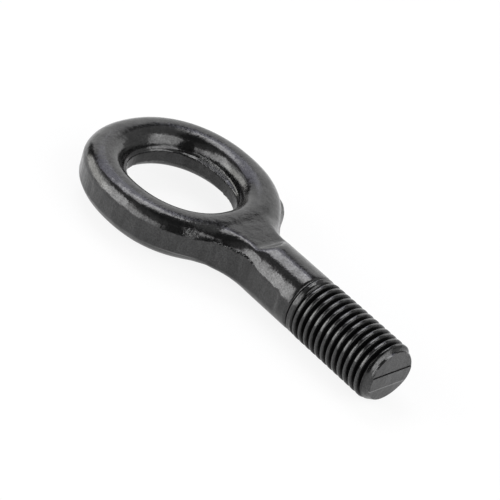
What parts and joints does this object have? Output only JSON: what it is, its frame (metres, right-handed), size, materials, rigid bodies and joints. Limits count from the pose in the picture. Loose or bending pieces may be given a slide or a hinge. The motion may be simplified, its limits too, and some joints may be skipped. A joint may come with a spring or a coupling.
{
  "type": "recovery tow hook",
  "caption": "Forged screw-in recovery tow hook: an oval eye for a shackle or strap on a round shank with a coarse right-hand thread.",
  "frame": {"origin": "under the middle of the overall length, on the shank's axis seen from above, at the level of the underside of the turned collar", "axes": "+X along the shank's axis from the eye towards the threaded end, +Y across the eye, +Z square to the eye's flat"},
  "size_m": [0.106, 0.048, 0.0161],
  "materials": {
    "black_coating": "semi-gloss black coating on forged steel"
  },
  "bodies": {
    "root": {"tow_hook": "black_coating"}
  },
  "joints": []
}
